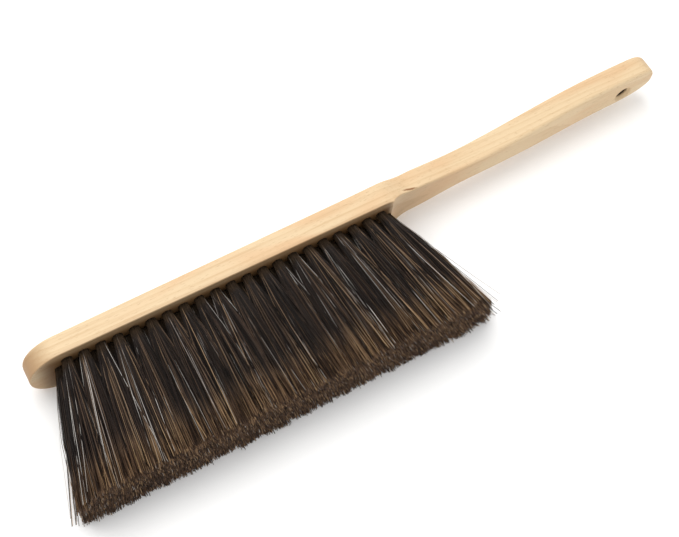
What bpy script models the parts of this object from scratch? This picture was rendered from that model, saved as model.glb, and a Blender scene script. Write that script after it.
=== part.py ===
"""Bench brush for flour: a one-piece wooden block with a swept handle, and four staggered rows of tufts.

The brush lies on its side. X runs from the nose to the hang hole, Y from the bristle tips to the back of the
block, and Z across the width, up from the table. Everything is first placed from the nose, the bristle face and
the middle of the width, under one empty, which is then moved so that the origin is under the middle of the brush.
"""

import math

import bmesh
import bpy
from mathutils import Matrix, Vector

# Block: the board that head and handle are cut from.
BRUSH_LENGTH = 0.3465
HEAD_WIDTH = 0.032
NECK_WIDTH = 0.0205
WAIST_WIDTH = 0.0164
GRIP_WIDTH = 0.0224
NOSE_THICKNESS = 0.0105
HEAD_THICKNESS = 0.0125
HANDLE_THICKNESS = 0.0113
NECK_RISE = 0.0035
HANDLE_SWEEP = 0.0055
HEEL_MARGIN = 0.0012
SHOULDER_LENGTH = 0.018
SHOULDER_LEAD = 0.004
NECK_TO_WAIST = 0.032
GRIP_FROM_END = 0.040
END_ROUND_LENGTH = 0.018
END_SQUARENESS = 2.2
SWEEP_FROM_END = 0.014
BACK_ROUNDING = 0.0026
FACE_ROUNDING = 0.0008

# Hang hole, through the handle from the bristle side to the back.
HANG_HOLE_DIAMETER = 0.008
HANG_HOLE_FROM_END = 0.0165
HANG_HOLE_COUNTERSINK = 0.0014

# Tufting: the drilled pattern and the bunches in it.
ROW_LETTERS = "abcd"
TUFTS_IN_ODD_ROW = 21
TUFT_PITCH = 0.0079
ROW_SPACING = 0.0057
NOSE_TO_FIRST_TUFT = 0.0132
TUFT_HOLE_DIAMETER = 0.0052
TUFT_HOLE_DEPTH = 0.0075
BRISTLE_LENGTH = 0.0635
NOSE_FLARE = 0.0125
HEEL_FLARE_TOP = 0.0115
HEEL_FLARE_BOTTOM = 0.0175
FLARE_CURVE = 0.55
TIP_TOP = 0.0150
TIP_BOTTOM = -0.0159
FILL_LENGTH = 0.026

# Fits.
FIT_GAP = 0.0003
MERGE_OVERLAP = 0.0003

# Fineness of the curved shapes.
NOSE_STATIONS = 8
END_STATIONS = 8
HEAD_STEP = 0.027
HEEL_STEP = 0.002
NECK_STEP = 0.0025
HANDLE_STEP = 0.0095
RIM_SEGMENTS = 3
RIM_ANGLE = math.radians(50.0)
TURN_STEPS = 24
HOLE_SIDES = 10
FIRST_FILL = 0.35
CELL_SQUARENESS = 0.62
CUTTER_PAST = 0.003

ROWS = len(ROW_LETTERS)
TUFTED_LENGTH = TUFTS_IN_ODD_ROW * TUFT_PITCH
TUFT_MIDDLE = NOSE_TO_FIRST_TUFT + TUFTED_LENGTH / 2
HEAD_END = NOSE_TO_FIRST_TUFT + TUFTED_LENGTH + TUFT_HOLE_DIAMETER / 2 + HEEL_MARGIN
SHOULDER_START = HEAD_END - SHOULDER_LEAD
NECK_AT = SHOULDER_START + SHOULDER_LENGTH
WAIST_AT = NECK_AT + NECK_TO_WAIST
GRIP_AT = BRUSH_LENGTH - GRIP_FROM_END
PLUG_RADIUS = TUFT_HOLE_DIAMETER / 2 - FIT_GAP


def clear_scene():
    """Remove every object of the scene that the file opens with."""
    for obj in list(bpy.data.objects):
        bpy.data.objects.remove(obj)


def make_collection(name):
    """Return a new collection linked to the scene."""
    collection = bpy.data.collections.new(name)
    bpy.context.scene.collection.children.link(collection)
    return collection


def make_material(name, colour, roughness, metallic=0.0):
    """Return a Principled material of one colour."""
    material = bpy.data.materials.new(name)
    material.use_nodes = True
    shader = material.node_tree.nodes["Principled BSDF"]
    shader.inputs["Base Color"].default_value = (*colour, 1.0)
    shader.inputs["Roughness"].default_value = roughness
    shader.inputs["Metallic"].default_value = metallic
    return material


def make_object(name, bm, collection, parent, location=(0.0, 0.0, 0.0)):
    """Turn a bmesh into a named object that hangs under its parent."""
    mesh = bpy.data.meshes.new(name)
    bm.to_mesh(mesh)
    bm.free()
    obj = bpy.data.objects.new(name, mesh)
    obj.location = location
    obj.parent = parent
    collection.objects.link(obj)
    return obj


def make_helper(name, bm, collection, parent):
    """Make an object that only cuts or joins others, and isn't a piece of the brush."""
    obj = make_object(name, bm, collection, parent)
    obj.hide_render = True
    obj.display_type = "WIRE"
    return obj


def combine(obj, other, operation):
    """Cut or join an object with a helper, as a live modifier."""
    modifier = obj.modifiers.new(f"{operation.lower()}_{other.name}", "BOOLEAN")
    modifier.operation = operation
    modifier.solver = "EXACT"
    modifier.object = other


def ease(t):
    """Go from 0 to 1 with no slope at either end."""
    t = min(max(t, 0.0), 1.0)
    return t * t * (3.0 - 2.0 * t)


def ramp(x, start, end, before, after):
    """Ease from one value to another between two places along the brush."""
    return before + (after - before) * ease((x - start) / (end - start))


# --- the block's outlines ---


def side_half_width(x):
    """Half the width of the board at x, before its two ends are rounded."""
    half = ramp(x, SHOULDER_START, NECK_AT, HEAD_WIDTH, NECK_WIDTH) / 2
    half += ramp(x, NECK_AT, WAIST_AT, 0.0, WAIST_WIDTH - NECK_WIDTH) / 2
    return half + ramp(x, WAIST_AT, GRIP_AT, 0.0, GRIP_WIDTH - WAIST_WIDTH) / 2


def half_width(x):
    """Half the width of the outline seen from the back: a half-round nose and a blunter handle end."""
    nose = HEAD_WIDTH / 2
    half = side_half_width(x)
    if x < nose:
        half = math.sqrt(max(nose**2 - (nose - x) ** 2, 0.0))
    into_end = x - (BRUSH_LENGTH - END_ROUND_LENGTH)
    if into_end > 0.0:
        left = max(1.0 - (into_end / END_ROUND_LENGTH) ** END_SQUARENESS, 0.0)
        half *= left ** (1.0 / END_SQUARENESS)
    return half


def face_height(x):
    """Y of the bristle face and of the handle's underside, which steps up behind the tufts and sweeps back."""
    ease_out = min(max((x - HEAD_END) / (NECK_AT - HEAD_END), 0.0), 1.0)
    step = NECK_RISE * (1.0 - (1.0 - ease_out) ** 2)
    return step + ramp(x, NECK_AT, BRUSH_LENGTH - SWEEP_FROM_END, 0.0, HANDLE_SWEEP)


def back_height(x):
    """Y of the back of the block: a wedge along the head, then level with the handle's underside."""
    wedge = (x - HEAD_WIDTH / 2) / (SHOULDER_START - HEAD_WIDTH / 2)
    head = NOSE_THICKNESS + (HEAD_THICKNESS - NOSE_THICKNESS) * min(max(wedge, 0.0), 1.0)
    handle = NECK_RISE + HANDLE_THICKNESS
    back = ramp(x, SHOULDER_START - SHOULDER_LEAD, NECK_AT + SHOULDER_LEAD, head, handle)
    return back + ramp(x, NECK_AT, BRUSH_LENGTH - SWEEP_FROM_END, 0.0, HANDLE_SWEEP)


def spread(start, end, step):
    """Evenly spaced places from start to just before end, about step apart."""
    count = max(1, round((end - start) / step))
    return [start + (end - start) * i / count for i in range(count)]


def block_stations():
    """Places along the brush where the outline has a corner: close on the ends and the shoulder, wide elsewhere."""
    nose = HEAD_WIDTH / 2
    arc = [math.pi / 2 * i / NOSE_STATIONS for i in range(NOSE_STATIONS)]
    places = [nose * (1.0 - math.cos(a)) for a in arc]
    places += spread(nose, SHOULDER_START, HEAD_STEP)
    places += spread(SHOULDER_START, HEAD_END, HEEL_STEP)
    places += spread(HEAD_END, NECK_AT, NECK_STEP)
    end_start = BRUSH_LENGTH - END_ROUND_LENGTH
    places += spread(NECK_AT, end_start, HANDLE_STEP)
    arc = [math.sin(math.pi / 2 * i / END_STATIONS) for i in range(END_STATIONS + 1)]
    return places + [end_start + END_ROUND_LENGTH * s ** (2.0 / END_SQUARENESS) for s in arc]


# --- the block ---


def shape_face(bm):
    """Make the flat bristle side of the board as a strip of faces, one between each pair of stations."""
    stations = block_stations()
    bmesh.ops.create_grid(bm, x_segments=len(stations) - 1, y_segments=1, size=1.0)
    bm.verts.ensure_lookup_table()
    for vert in bm.verts:
        place = round((vert.co.x + 1.0) / 2.0 * (len(stations) - 1))
        side = 1.0 if vert.co.y > 0.0 else -1.0
        x = stations[place]
        vert.co = Vector((x, face_height(x), side * half_width(x)))
    bmesh.ops.remove_doubles(bm, verts=bm.verts, dist=1e-6)


def join_end_faces(bm):
    """Make one face of the strip inside each rounded end, so that the rim's rounding has room there."""
    inside = []
    for edge in bm.edges:
        xs = [vert.co.x for vert in edge.verts]
        crosses = abs(xs[0] - xs[1]) < 1e-7 and not edge.is_boundary
        in_nose = max(xs) < HEAD_WIDTH / 2 - 1e-6
        in_end = min(xs) > BRUSH_LENGTH - END_ROUND_LENGTH + 1e-6
        if crosses and (in_nose or in_end):
            inside.append(edge)
    bmesh.ops.dissolve_edges(bm, edges=inside)


def thicken(bm):
    """Raise a copy of the face to the back of the block, with walls between."""
    raised = bmesh.ops.extrude_face_region(bm, geom=bm.faces[:])
    for item in raised["geom"]:
        if isinstance(item, bmesh.types.BMVert):
            item.co.y = back_height(item.co.x)
    bmesh.ops.recalc_face_normals(bm, faces=bm.faces)


def weigh_rims(bm):
    """Give the rims their share of the largest rounding: little on the head's bristle side, full elsewhere."""
    weights = bm.edges.layers.float.new("bevel_weight_edge")
    for edge in bm.edges:
        if edge.calc_face_angle(0.0) < RIM_ANGLE:
            continue
        x = (edge.verts[0].co.x + edge.verts[1].co.x) / 2
        middle = (face_height(x) + back_height(x)) / 2
        on_face = edge.verts[0].co.y < middle
        rounding = ramp(x, HEAD_END, NECK_AT, FACE_ROUNDING, BACK_ROUNDING) if on_face else BACK_ROUNDING
        edge[weights] = rounding / BACK_ROUNDING


def hang_hole_cutter(helpers, parent):
    """A turned cutter with a cone at both mouths, a little longer than the handle is thick."""
    x = BRUSH_LENGTH - HANG_HOLE_FROM_END
    bore = HANG_HOLE_DIAMETER / 2
    flare = HANG_HOLE_COUNTERSINK + CUTTER_PAST
    top = back_height(x) + CUTTER_PAST
    bottom = face_height(x) - CUTTER_PAST
    profile = ((0.0, top), (bore + flare, top), (bore, top - flare), (bore, bottom + flare))
    profile += ((bore + flare, bottom), (0.0, bottom))
    bm = bmesh.new()
    verts = [bm.verts.new((radius, 0.0, height)) for radius, height in profile]
    for start, end in zip(verts, verts[1:]):
        bm.edges.new((start, end))
    cutter = make_helper("hang_hole_cutter", bm, helpers, parent)
    cutter.location = (x, 0.0, 0.0)
    cutter.rotation_euler = (-math.pi / 2, 0.0, 0.0)
    turn = cutter.modifiers.new("turn", "SCREW")
    turn.steps = TURN_STEPS
    turn.render_steps = TURN_STEPS
    turn.use_merge_vertices = True
    turn.merge_threshold = 0.00001
    return cutter


def tuft_hole_cutter(helpers, parent):
    """Every tuft's drill, each along its own tuft, as one cutter."""
    bm = bmesh.new()
    for row in range(ROWS):
        for x in tuft_places(row):
            along = tuft_direction(row, x)
            mouth = Vector((x, 0.0, row_height(row)))
            middle = mouth + along * (CUTTER_PAST - TUFT_HOLE_DEPTH) / 2
            turn = Vector((0.0, 0.0, 1.0)).rotation_difference(along).to_matrix().to_4x4()
            bmesh.ops.create_cone(
                bm,
                cap_ends=True,
                segments=HOLE_SIDES,
                radius1=TUFT_HOLE_DIAMETER / 2,
                radius2=TUFT_HOLE_DIAMETER / 2,
                depth=TUFT_HOLE_DEPTH + CUTTER_PAST,
                matrix=Matrix.Translation(middle) @ turn,
            )
    return make_helper("tuft_hole_cutter", bm, helpers, parent)


def build_block(pieces, helpers, parent):
    """The wooden block with its rounded rims, tuft holes and hang hole."""
    bm = bmesh.new()
    shape_face(bm)
    join_end_faces(bm)
    thicken(bm)
    weigh_rims(bm)
    block = make_object("block_and_handle", bm, pieces, parent)
    rounding = block.modifiers.new("rounding", "BEVEL")
    rounding.limit_method = "WEIGHT"
    rounding.width = BACK_ROUNDING
    rounding.segments = RIM_SEGMENTS
    rounding.use_clamp_overlap = False
    combine(block, tuft_hole_cutter(helpers, parent), "DIFFERENCE")
    combine(block, hang_hole_cutter(helpers, parent), "DIFFERENCE")
    block.data.materials.append(make_material("pale_hardwood", (0.78, 0.56, 0.33), 0.5))
    return block


# --- the tufts ---


def tuft_places(row):
    """X of each tuft of a row: odd rows are one tuft shorter and half a pitch off."""
    odd = row % 2 == 0
    first = NOSE_TO_FIRST_TUFT + (TUFT_PITCH / 2 if odd else 0.0)
    count = TUFTS_IN_ODD_ROW if odd else TUFTS_IN_ODD_ROW + 1
    return [first + i * TUFT_PITCH for i in range(count)]


def row_height(row):
    """Z of a row's centre line in the bristle face, from the top row down."""
    return ROW_SPACING * ((ROWS - 1) / 2 - row)


def row_edge(row, t):
    """Z of the upper edge of a row's share of the width, at a share t of the bristle length."""
    root = ROW_SPACING * (ROWS / 2 - row)
    tip = TIP_TOP + (TIP_BOTTOM - TIP_TOP) * row / ROWS
    return root + (tip - root) * t


def lean(row, x):
    """How far the bristles of a row that leave the face at x have moved along X at their tips.

    The lower rows rest on the table and spread further towards the handle.
    """
    along = (x - TUFT_MIDDLE) / (TUFTED_LENGTH / 2)
    heel_flare = HEEL_FLARE_TOP + (HEEL_FLARE_BOTTOM - HEEL_FLARE_TOP) * row / (ROWS - 1)
    flare = heel_flare if along > 0.0 else NOSE_FLARE
    return flare * ((1.0 - FLARE_CURVE) * along + FLARE_CURVE * along**3)


def tuft_direction(row, x):
    """Unit vector along a tuft, out of its hole."""
    tip_height = (row_edge(row, 1.0) + row_edge(row + 1, 1.0)) / 2
    return Vector((lean(row, x), -BRISTLE_LENGTH, tip_height - row_height(row))).normalized()


def rounded_cell(low, high, squareness):
    """Ring of (x, z) points in a cell: an ellipse at squareness 0, nearly a rectangle at 1."""
    middle = (low + high) / 2
    half = (high - low) / 2
    ring = []
    for i in range(HOLE_SIDES):
        angle = 2 * math.pi * i / HOLE_SIDES
        c, s = math.cos(angle), math.sin(angle)
        power = 1.0 - CELL_SQUARENESS * squareness
        x = math.copysign(abs(c) ** power, c)
        z = math.copysign(abs(s) ** power, s)
        ring.append((middle.x + half.x * x, middle.y + half.y * z))
    return ring


def cell_at(row, x, t, joined_before, joined_after):
    """Corners (x, z) of the space of one tuft at a share t of the bristle length."""
    edges = []
    for side, joined in ((-1.0, joined_before), (1.0, joined_after)):
        edge = x + side * TUFT_PITCH / 2
        edge += t * lean(row, edge)
        edges.append(edge + side * (MERGE_OVERLAP if joined else -FIT_GAP / 2))
    low = Vector((edges[0], row_edge(row + 1, t) + FIT_GAP / 2))
    high = Vector((edges[1], row_edge(row, t) - FIT_GAP / 2))
    return low, high


def tuft_rings(row, x, joined_before, joined_after):
    """The sections of a tuft from the bottom of its hole to its trimmed tips."""
    along = tuft_direction(row, x)
    mouth = Vector((x, 0.0, row_height(row)))
    across = Vector((1.0, 0.0, 0.0))
    across = (across - along * across.dot(along)).normalized()
    up = along.cross(across)
    bottom = mouth - along * (TUFT_HOLE_DEPTH - FIT_GAP)
    plug = []
    for i in range(HOLE_SIDES):
        angle = 2 * math.pi * i / HOLE_SIDES
        plug.append(bottom + PLUG_RADIUS * (across * math.cos(angle) + up * math.sin(angle)))
    rings = [plug]
    root_half = Vector((PLUG_RADIUS, PLUG_RADIUS))
    for y in (0.0, FIRST_FILL * FILL_LENGTH, FILL_LENGTH, BRISTLE_LENGTH):
        t = y / BRISTLE_LENGTH
        filled = ease(y / FILL_LENGTH)
        centre = mouth + along * (y / -along.y)
        middle = Vector((centre.x, centre.z))
        low, high = cell_at(row, x, t, joined_before, joined_after)
        low = (middle - root_half).lerp(low, filled)
        high = (middle + root_half).lerp(high, filled)
        rings.append([Vector((px, -y, pz)) for px, pz in rounded_cell(low, high, filled)])
    return rings


def tuft_body(row, x, joined_before, joined_after, origin):
    """One tuft as a closed loft through its sections, measured from origin."""
    bm = bmesh.new()
    loops = []
    for ring in tuft_rings(row, x, joined_before, joined_after):
        loops.append([bm.verts.new(point - origin) for point in ring])
    for lower, upper in zip(loops, loops[1:]):
        for i in range(HOLE_SIDES):
            j = (i + 1) % HOLE_SIDES
            bm.faces.new((lower[i], lower[j], upper[j], upper[i]))
    bm.faces.new(loops[0])
    bm.faces.new(loops[-1])
    bmesh.ops.recalc_face_normals(bm, faces=bm.faces)
    return bm


def build_tufts(pieces, helpers, parent, material):
    """The four rows, as neighbours whose bristles mix and are joined two by two."""
    for row in range(ROWS):
        places = tuft_places(row)
        for number, first in enumerate(range(0, len(places), 2), start=1):
            pair = places[first : first + 2]
            origin = Vector((sum(pair) / len(pair), 0.0, row_height(row)))
            name = f"tufts_{ROW_LETTERS[row]}_{number:02d}"
            body = tuft_body(row, pair[0], False, len(pair) == 2, origin)
            tuft = make_object(name, body, pieces, parent, origin)
            tuft.data.materials.append(material)
            if len(pair) == 2:
                body = tuft_body(row, pair[1], True, False, Vector())
                combine(tuft, make_helper(f"{name}_second", body, helpers, parent), "UNION")


def stand_on_origin(pieces, parent):
    """Move the whole brush so that the origin is under the middle of its box, at table height."""
    bpy.context.view_layer.update()
    graph = bpy.context.evaluated_depsgraph_get()
    points = []
    for obj in pieces.objects:
        if obj.type == "MESH":
            made = obj.evaluated_get(graph)
            points += [made.matrix_world @ vert.co for vert in made.data.vertices]
    low = Vector([min(point[i] for point in points) for i in range(3)])
    high = Vector([max(point[i] for point in points) for i in range(3)])
    middle = (low + high) / 2
    parent.location = (-middle.x, -middle.y, -low.z)


def main():
    """Build the brush."""
    clear_scene()
    pieces = make_collection("bench_brush")
    helpers = make_collection("cutters")
    parent = bpy.data.objects.new("brush_datum", None)
    pieces.objects.link(parent)
    build_block(pieces, helpers, parent)
    bristle = make_material("dark_bristle", (0.035, 0.024, 0.018), 0.55)
    build_tufts(pieces, helpers, parent, bristle)
    stand_on_origin(pieces, parent)


main()
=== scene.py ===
"""Looks of a bench brush: a one-piece wooden block with a swept handle, and four rows of dark bristle tufts.

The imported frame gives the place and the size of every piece. Lengths are in metres. The brush lies on its
side: X runs from the nose to the hang hole, Y from the bristle tips to the back of the block, and Z up from
the table.
"""

import logging
import math
from collections.abc import Callable, Iterable, Sequence
from dataclasses import dataclass, field
from enum import Enum

import bmesh
import bpy
import numpy as np
from mathutils import Matrix, Vector


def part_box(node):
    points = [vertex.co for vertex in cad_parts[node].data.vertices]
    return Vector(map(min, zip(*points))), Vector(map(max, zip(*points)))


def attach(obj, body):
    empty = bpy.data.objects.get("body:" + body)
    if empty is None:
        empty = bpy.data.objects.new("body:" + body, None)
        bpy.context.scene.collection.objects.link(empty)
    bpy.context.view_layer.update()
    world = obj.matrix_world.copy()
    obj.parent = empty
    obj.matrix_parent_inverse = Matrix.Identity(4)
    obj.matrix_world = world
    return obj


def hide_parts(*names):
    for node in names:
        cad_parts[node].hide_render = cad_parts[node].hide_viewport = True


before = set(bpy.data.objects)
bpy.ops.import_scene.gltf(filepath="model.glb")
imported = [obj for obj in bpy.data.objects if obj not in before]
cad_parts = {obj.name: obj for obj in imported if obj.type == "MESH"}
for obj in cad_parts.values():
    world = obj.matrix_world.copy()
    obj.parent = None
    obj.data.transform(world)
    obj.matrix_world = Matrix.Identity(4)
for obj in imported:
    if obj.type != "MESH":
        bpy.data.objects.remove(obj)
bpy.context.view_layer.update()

log = logging.getLogger("bench_brush")

BODY = "root"
BLOCK_NODE = "block_and_handle"
SAME_PLACE = 1e-6
CLEARLY_PAST = 1e-5
THINNEST = 1e-7

Colour = tuple[float, float, float]
Place = tuple[float, float, float]
Span = tuple[float, float]
Arrays = tuple[np.ndarray, np.ndarray, np.ndarray]
Socket = bpy.types.NodeSocket
WHITE: Colour = (1.0, 1.0, 1.0)


# --- working with Blender ---


def select_only(obj: bpy.types.Object | None) -> None:
    """Deselect everything, then select and activate one object.

    Args:
        obj: The object to work on, or None to leave nothing selected.
    """
    bpy.ops.object.select_all(action="DESELECT")
    if obj is not None:
        obj.select_set(True)
        bpy.context.view_layer.objects.active = obj


def take_new(name: str) -> bpy.types.Object:
    """Name the object that an operator has just added.

    Args:
        name: The object's name, which its mesh gets too.

    Returns:
        The new object, which is active and the only one selected.
    """
    obj = bpy.context.view_layer.objects.active
    obj.name = name
    obj.data.name = name
    return obj


def pick(test: Callable[[Vector], bool]) -> None:
    """Select the vertices that pass a test, and what lies between them, in edit mode.

    Args:
        test: Says whether the vertex at a place is picked.
    """
    bpy.ops.mesh.select_mode(type="VERT")
    bm = bmesh.from_edit_mesh(bpy.context.view_layer.objects.active.data)
    for vert in bm.verts:
        vert.select = bool(test(vert.co))
    bm.select_flush_mode()
    bmesh.update_edit_mesh(bpy.context.view_layer.objects.active.data)


def saw(place: Place, normal: Place) -> None:
    """Cut the whole shape across, in edit mode, without parting it."""
    bpy.ops.mesh.select_all(action="SELECT")
    bpy.ops.mesh.bisect(plane_co=place, plane_no=normal)


def aimed(place: Vector, along: Vector) -> Matrix:
    """Move a shape that stands along Z to a place, and point it along a direction."""
    turn = Vector((0.0, 0.0, 1.0)).rotation_difference(along).to_matrix().to_4x4()
    return Matrix.Translation(place) @ turn


def apply_modifier(obj: bpy.types.Object, kind: str, **settings: object) -> None:
    """Add a modifier with these settings and apply it.

    Args:
        obj: The object that gets it.
        kind: Blender's type name of the modifier.
        settings: Its attributes.
    """
    select_only(obj)
    modifier = obj.modifiers.new(kind.lower(), kind)
    for name, value in settings.items():
        setattr(modifier, name, value)
    bpy.ops.object.modifier_apply(modifier=modifier.name)


def settle(obj: bpy.types.Object) -> None:
    """Put an object's place, turn and scale into its mesh, so that the object sits at the origin."""
    select_only(obj)
    bpy.ops.object.transform_apply(location=True, rotation=True, scale=True)


def cut_with(obj: bpy.types.Object, cutter: bpy.types.Object) -> None:
    """Cut one object with another, and remove the cutter."""
    apply_modifier(obj, "BOOLEAN", operation="DIFFERENCE", solver="EXACT", object=cutter)
    bpy.data.objects.remove(cutter)


def mesh_from(name: str, points: np.ndarray, corners: np.ndarray, sides: np.ndarray) -> bpy.types.Object:
    """Make one object of many copied shapes.

    Args:
        name: The object's name.
        points: Its vertices, as rows of x, y and z.
        corners: The vertex of every face corner, face after face.
        sides: How many corners each face has.

    Returns:
        The new object, linked to the scene.
    """
    mesh = bpy.data.meshes.new(name)
    mesh.vertices.add(len(points))
    mesh.vertices.foreach_set("co", np.ascontiguousarray(points, np.float32).ravel())
    mesh.loops.add(len(corners))
    mesh.loops.foreach_set("vertex_index", np.ascontiguousarray(corners, np.int32))
    mesh.polygons.add(len(sides))
    starts = np.concatenate([[0], np.cumsum(sides)[:-1]]).astype(np.int32)
    mesh.polygons.foreach_set("loop_start", starts)
    mesh.update(calc_edges=True)
    mesh.validate()
    obj = bpy.data.objects.new(name, mesh)
    bpy.context.scene.collection.objects.link(obj)
    return obj


@dataclass(frozen=True)
class Pattern:
    """A modelled shape, read as arrays so that it can be copied many times."""

    points: np.ndarray
    corners: np.ndarray
    sides: np.ndarray

    @classmethod
    def of(cls, obj: bpy.types.Object) -> "Pattern":
        """Read an object's mesh, and remove the object.

        Args:
            obj: The shape, modelled about the origin.

        Returns:
            Its vertices and faces.
        """
        mesh = obj.data
        points = np.zeros(len(mesh.vertices) * 3, np.float32)
        mesh.vertices.foreach_get("co", points)
        corners = np.zeros(len(mesh.loops), np.int32)
        mesh.loops.foreach_get("vertex_index", corners)
        sides = np.array([len(face.vertices) for face in mesh.polygons], np.int32)
        bpy.data.objects.remove(obj)
        return cls(points.reshape(-1, 3).astype(float), corners, sides)

    def repeated(self, count: int) -> tuple[np.ndarray, np.ndarray]:
        """Faces of this many copies whose vertices follow each other.

        Args:
            count: How many copies.

        Returns:
            The corners and the sides of all their faces.
        """
        shift = np.arange(count)[:, None] * len(self.points)
        return (self.corners[None, :] + shift).ravel(), np.tile(self.sides, count)

    def copies(self, name: str, places: Iterable[Matrix]) -> bpy.types.Object:
        """Make one object with a copy of the shape at each place.

        Args:
            name: The object's name.
            places: Where each copy goes.

        Returns:
            The new object.
        """
        turned = []
        for place in places:
            matrix = np.array(place)
            turned.append(self.points @ matrix[:3, :3].T + matrix[:3, 3])
        corners, sides = self.repeated(len(turned))
        return mesh_from(name, np.concatenate(turned), corners, sides)


@dataclass(frozen=True)
class Cloud:
    """Cloudy noise: clouds to the metre along each axis, finer layers, distortion and shift.

    It comes to show over a span of its values, by an amount.
    """

    scale: Colour
    detail: float = 2.0
    distortion: float = 0.0
    shift: Colour = (0.0, 0.0, 0.0)
    shows: Span = (0.0, 1.0)
    amount: float = 1.0


class Graph:
    """A material whose nodes are added one by one, each returning the socket that the next one reads."""

    def __init__(self, name: str) -> None:
        """Start a material with its Principled shader.

        Args:
            name: The material's name.
        """
        self.material = bpy.data.materials.new(name)
        self.material.use_nodes = True
        self.tree = self.material.node_tree
        self.shader = self.tree.nodes["Principled BSDF"]

    def node(self, kind: str, **settings: object) -> bpy.types.Node:
        """Add a node and set its attributes.

        Args:
            kind: Blender's type name of the node.
            settings: Its attributes.

        Returns:
            The node.
        """
        made = self.tree.nodes.new(kind)
        for name, value in settings.items():
            setattr(made, name, value)
        return made

    def feed(self, value: object, socket: Socket) -> None:
        """Link a socket to an input, or set the input to a number, a vector or a colour.

        Args:
            value: What the input reads.
            socket: The input.
        """
        if isinstance(value, bpy.types.NodeSocket):
            self.tree.links.new(value, socket)
        elif isinstance(value, tuple) and len(value) == 3 and socket.type == "RGBA":
            socket.default_value = (*value, 1.0)
        else:
            socket.default_value = value

    def finish(self, inputs: dict[str, object]) -> bpy.types.Material:
        """Feed the shader.

        Args:
            inputs: What each of its named inputs reads.

        Returns:
            The finished material.
        """
        for name, value in inputs.items():
            self.feed(value, self.shader.inputs[name])
        return self.material

    def coordinates(self, kind: str) -> Socket:
        """Read the piece's own coordinates of a kind."""
        return self.node("ShaderNodeTexCoord").outputs[kind]

    def axes(self, vector: Socket) -> tuple[Socket, ...]:
        """Split a vector.

        Args:
            vector: What is split.

        Returns:
            Its X, Y and Z.
        """
        split = self.node("ShaderNodeSeparateXYZ")
        self.feed(vector, split.inputs[0])
        return tuple(split.outputs[axis] for axis in "XYZ")

    def maths(self, operation: str, *values: object) -> Socket:
        """Reckon with sockets and numbers.

        Args:
            operation: Blender's name of the operation.
            values: Its inputs, in order.

        Returns:
            The result.
        """
        made = self.node("ShaderNodeMath", operation=operation)
        for value, socket in zip(values, made.inputs):
            self.feed(value, socket)
        return made.outputs[0]

    def times(self, first: object, second: object) -> Socket:
        """Multiply two values."""
        return self.maths("MULTIPLY", first, second)

    def diagonal(self, first: Socket, second: Socket) -> Socket:
        """Reckon how far a place is, from how far it is along two axes."""
        return self.maths("SQRT", self.maths("ADD", self.times(first, first), self.times(second, second)))

    def between(self, value: Socket, ends: Span) -> Socket:
        """Go evenly from one end to the other while a value goes from 0 to 1."""
        return self.maths("MULTIPLY_ADD", value, ends[1] - ends[0], ends[0])

    def rise(self, value: Socket, span: Span, place: float = 0.0) -> Socket:
        """Ease from 0 to 1 while a value crosses a span.

        Args:
            value: What is read.
            span: Where the result leaves 0 and where it reaches 1.
            place: What the span is measured from.

        Returns:
            The eased value.
        """
        made = self.node("ShaderNodeMapRange", interpolation_type="SMOOTHSTEP")
        self.feed(value, made.inputs["Value"])
        made.inputs["From Min"].default_value = place + span[0]
        made.inputs["From Max"].default_value = place + span[1]
        return made.outputs["Result"]

    def fall(self, value: Socket, span: Span, place: float = 0.0) -> Socket:
        """Ease from 1 to 0 while a value crosses a span, measured from a place."""
        return self.maths("SUBTRACT", 1.0, self.rise(value, span, place))

    def mix(self, share: object, first: object, second: object) -> Socket:
        """Mix two colours.

        Args:
            share: How much of the second one, from 0 to 1.
            first: A colour or a socket.
            second: A colour or a socket.

        Returns:
            The mixed colour.
        """
        made = self.node("ShaderNodeMix", data_type="RGBA")
        self.feed(share, made.inputs["Factor"])
        self.feed(first, made.inputs["A"])
        self.feed(second, made.inputs["B"])
        return made.outputs["Result"]

    def ramp(self, value: Socket, stops: Sequence[tuple[float, Colour]]) -> Socket:
        """Read a colour off a ramp.

        Args:
            value: Where to read it.
            stops: Places along the ramp, each with its colour.

        Returns:
            The colour.
        """
        made = self.node("ShaderNodeValToRGB")
        elements = made.color_ramp.elements
        while len(elements) < len(stops):
            elements.new(0.5)
        for element, (place, colour) in zip(elements, stops):
            element.position = place
            element.color = (*colour, 1.0)
        self.feed(value, made.inputs["Fac"])
        return made.outputs["Color"]

    def noise(self, places: Socket, cloud: Cloud) -> Socket:
        """Draw cloudy noise.

        Args:
            places: The coordinates that it reads.
            cloud: Its scale and detail.

        Returns:
            The noise, about 0.5.
        """
        mapping = self.node("ShaderNodeMapping")
        self.feed(places, mapping.inputs["Vector"])
        mapping.inputs["Scale"].default_value = cloud.scale
        mapping.inputs["Location"].default_value = cloud.shift
        made = self.node("ShaderNodeTexNoise")
        self.feed(mapping.outputs["Vector"], made.inputs["Vector"])
        made.inputs["Scale"].default_value = 1.0
        made.inputs["Detail"].default_value = cloud.detail
        made.inputs["Distortion"].default_value = cloud.distortion
        return made.outputs["Fac"]

    def bump(self, height: Socket, distance: float, strength: float) -> None:
        """Roughen the shader's surface.

        Args:
            height: The relief, from 0 to 1.
            distance: How high the relief is, in metres.
            strength: How much of it shows.
        """
        made = self.node("ShaderNodeBump")
        made.inputs["Distance"].default_value = distance
        made.inputs["Strength"].default_value = strength
        self.feed(height, made.inputs["Height"])
        self.feed(made.outputs["Normal"], self.shader.inputs["Normal"])


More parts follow.
